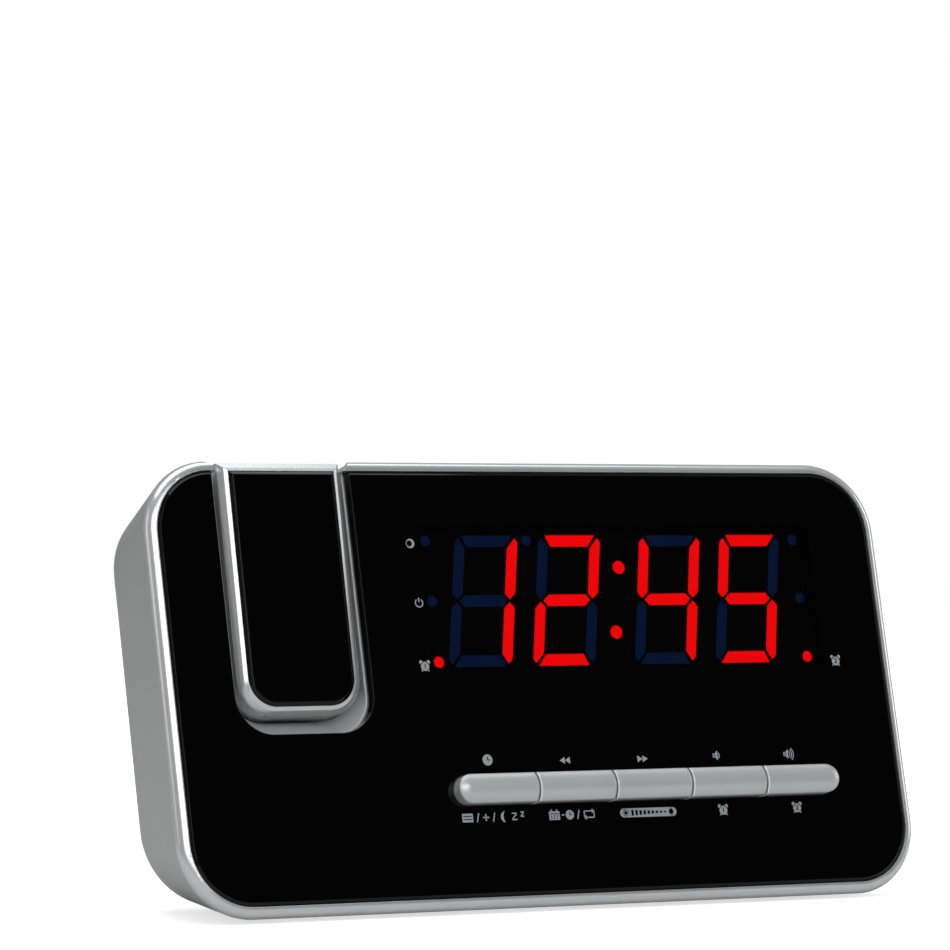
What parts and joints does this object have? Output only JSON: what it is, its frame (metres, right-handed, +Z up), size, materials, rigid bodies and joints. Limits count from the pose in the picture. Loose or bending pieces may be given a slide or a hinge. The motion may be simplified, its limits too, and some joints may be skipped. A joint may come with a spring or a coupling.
{
  "type": "projection clock radio",
  "caption": "Desk clock radio with a leaning gloss front, red seven-segment display, front button bank and a swing-out time projector arm.",
  "frame": {"origin": "middle of the object's bounding box in plan, on the surface that it stands on", "axes": "+X to the right seen from the front, +Y from the front face to the back, +Z up"},
  "size_m": [0.1952, 0.0684, 0.103],
  "materials": {
    "front_bezel": "bright silver paint",
    "front_panel": "polished black acrylic",
    "front_chassis": "matte black",
    "rear_housing": "satin silver grey paint",
    "arm_cradle": "glossy silver",
    "hinge_pins": "ground",
    "friction_washers": "acetal",
    "display_film": "smoked film",
    "display_reflector": "matte black",
    "lit_segments": "lit red diffuser",
    "unlit_segments": "dark diffuser",
    "display_board": "solder mask",
    "main_board": "solder mask",
    "button_board": "solder mask",
    "top_board": "solder mask",
    "arm_board": "solder mask",
    "board_chips": "moulded",
    "front_switches": "moulded",
    "top_switches": "moulded",
    "tuner_can": "tinned",
    "capacitors": "sleeved",
    "speaker_basket": "black",
    "speaker_cone": "paper cone",
    "speaker_magnet": "ferrite",
    "speaker_screws": "zinc plated",
    "housing_screws": "zinc plated",
    "board_screws": "zinc plated",
    "arm_screws": "zinc plated",
    "backup_cells": "sleeved cells",
    "cell_contacts": "nickel plated",
    "power_jack": "black",
    "aerial_gland": "black",
    "rubber_feet": "matte rubber",
    "arm_frame": "bright silver paint",
    "arm_insert": "polished black acrylic",
    "arm_back_cover": "satin",
    "light_tunnel": "matte black",
    "projector_led": "red epoxy",
    "time_slide": "lcd glass",
    "condenser_lens": "clear",
    "projection_lens": "clear",
    "focus_ring": "black",
    "clock_button": "bright silver paint",
    "back_button": "bright silver paint",
    "forward_button": "bright silver paint",
    "volume_down_button": "bright silver paint",
    "volume_up_button": "bright silver paint",
    "snooze_bar": "silver paint",
    "projector_key": "silver paint",
    "power_key": "silver paint",
    "battery_door": "satin"
  },
  "bodies": {
    "clock": {"front_bezel": "front_bezel", "front_panel": "front_panel", "front_chassis": "front_chassis", "rear_housing": "rear_housing", "arm_cradle": "arm_cradle", "hinge_pins": "hinge_pins", "friction_washers": "friction_washers", "display_film": "display_film", "display_reflector": "display_reflector", "lit_segments": "lit_segments", "unlit_segments": "unlit_segments", "display_board": "display_board", "main_board": "main_board", "board_chips": "board_chips", "tuner_can": "tuner_can", "capacitors": "capacitors", "button_board": "button_board", "front_switches": "front_switches", "top_board": "top_board", "top_switches": "top_switches", "speaker_basket": "speaker_basket", "speaker_cone": "speaker_cone", "speaker_magnet": "speaker_magnet", "speaker_screws": "speaker_screws", "backup_cells": "backup_cells", "cell_contacts": "cell_contacts", "power_jack": "power_jack", "aerial_gland": "aerial_gland", "rubber_feet": "rubber_feet", "housing_screws": "housing_screws", "board_screws": "board_screws"},
    "arm": {"arm_frame": "arm_frame", "arm_insert": "arm_insert", "arm_back_cover": "arm_back_cover", "arm_screws": "arm_screws", "light_tunnel": "light_tunnel", "projector_led": "projector_led", "time_slide": "time_slide", "condenser_lens": "condenser_lens", "arm_board": "arm_board"},
    "focus_ring": {"focus_ring": "focus_ring"},
    "lens": {"projection_lens": "projection_lens"},
    "clock_button": {"clock_button": "clock_button"},
    "back_button": {"back_button": "back_button"},
    "forward_button": {"forward_button": "forward_button"},
    "volume_down_button": {"volume_down_button": "volume_down_button"},
    "volume_up_button": {"volume_up_button": "volume_up_button"},
    "snooze_bar": {"snooze_bar": "snooze_bar"},
    "projector_key": {"projector_key": "projector_key"},
    "power_key": {"power_key": "power_key"},
    "battery_door": {"battery_door": "battery_door"}
  },
  "joints": [
    {"name": "arm_swing", "type": "hinge", "parent": "clock", "child": "arm", "pos_m": [-0.0626, 0.00203, 0.09651], "axis": [-1, 0, 0], "range_deg": [0, 90]},
    {"name": "focus_turn", "type": "hinge", "parent": "arm", "child": "focus_ring", "pos_m": [-0.0626, -0.00513, 0.08939], "axis": [0, 0.2164, 0.9763], "range_deg": [-70, 70]},
    {"name": "lens_focus", "type": "slide", "parent": "arm", "child": "lens", "axis": [0, 0.2164, 0.9763], "range_m": [-0.0006, 0.0006]},
    {"name": "clock_button_press", "type": "slide", "parent": "clock", "child": "clock_button", "axis": [0, 0.972, -0.2351], "range_m": [0, 0.0008], "stiffness_N_per_m": 1200, "springref_m": -0.0003},
    {"name": "back_button_press", "type": "slide", "parent": "clock", "child": "back_button", "axis": [0, 0.972, -0.2351], "range_m": [0, 0.0008], "stiffness_N_per_m": 1200, "springref_m": -0.0003},
    {"name": "forward_button_press", "type": "slide", "parent": "clock", "child": "forward_button", "axis": [0, 0.972, -0.2351], "range_m": [0, 0.0008], "stiffness_N_per_m": 1200, "springref_m": -0.0003},
    {"name": "volume_down_button_press", "type": "slide", "parent": "clock", "child": "volume_down_button", "axis": [0, 0.972, -0.2351], "range_m": [0, 0.0008], "stiffness_N_per_m": 1200, "springref_m": -0.0003},
    {"name": "volume_up_button_press", "type": "slide", "parent": "clock", "child": "volume_up_button", "axis": [0, 0.972, -0.2351], "range_m": [0, 0.0008], "stiffness_N_per_m": 1200, "springref_m": -0.0003},
    {"name": "snooze_bar_press", "type": "slide", "parent": "clock", "child": "snooze_bar", "axis": [0, -0.2351, -0.972], "range_m": [0, 0.0006], "stiffness_N_per_m": 1500, "springref_m": -0.0003},
    {"name": "projector_key_press", "type": "slide", "parent": "clock", "child": "projector_key", "axis": [0, -0.2351, -0.972], "range_m": [0, 0.0006], "stiffness_N_per_m": 1500, "springref_m": -0.0003},
    {"name": "power_key_press", "type": "slide", "parent": "clock", "child": "power_key", "axis": [0, -0.2351, -0.972], "range_m": [0, 0.0006], "stiffness_N_per_m": 1500, "springref_m": -0.0003},
    {"name": "battery_door_slide", "type": "slide", "parent": "clock", "child": "battery_door", "axis": [0, 1, 0], "range_m": [0, 0.024]}
  ],
  "couplings": [
    {"joint": "focus_turn", "follows": "lens_focus", "rad_per_m": 2036}
  ]
}
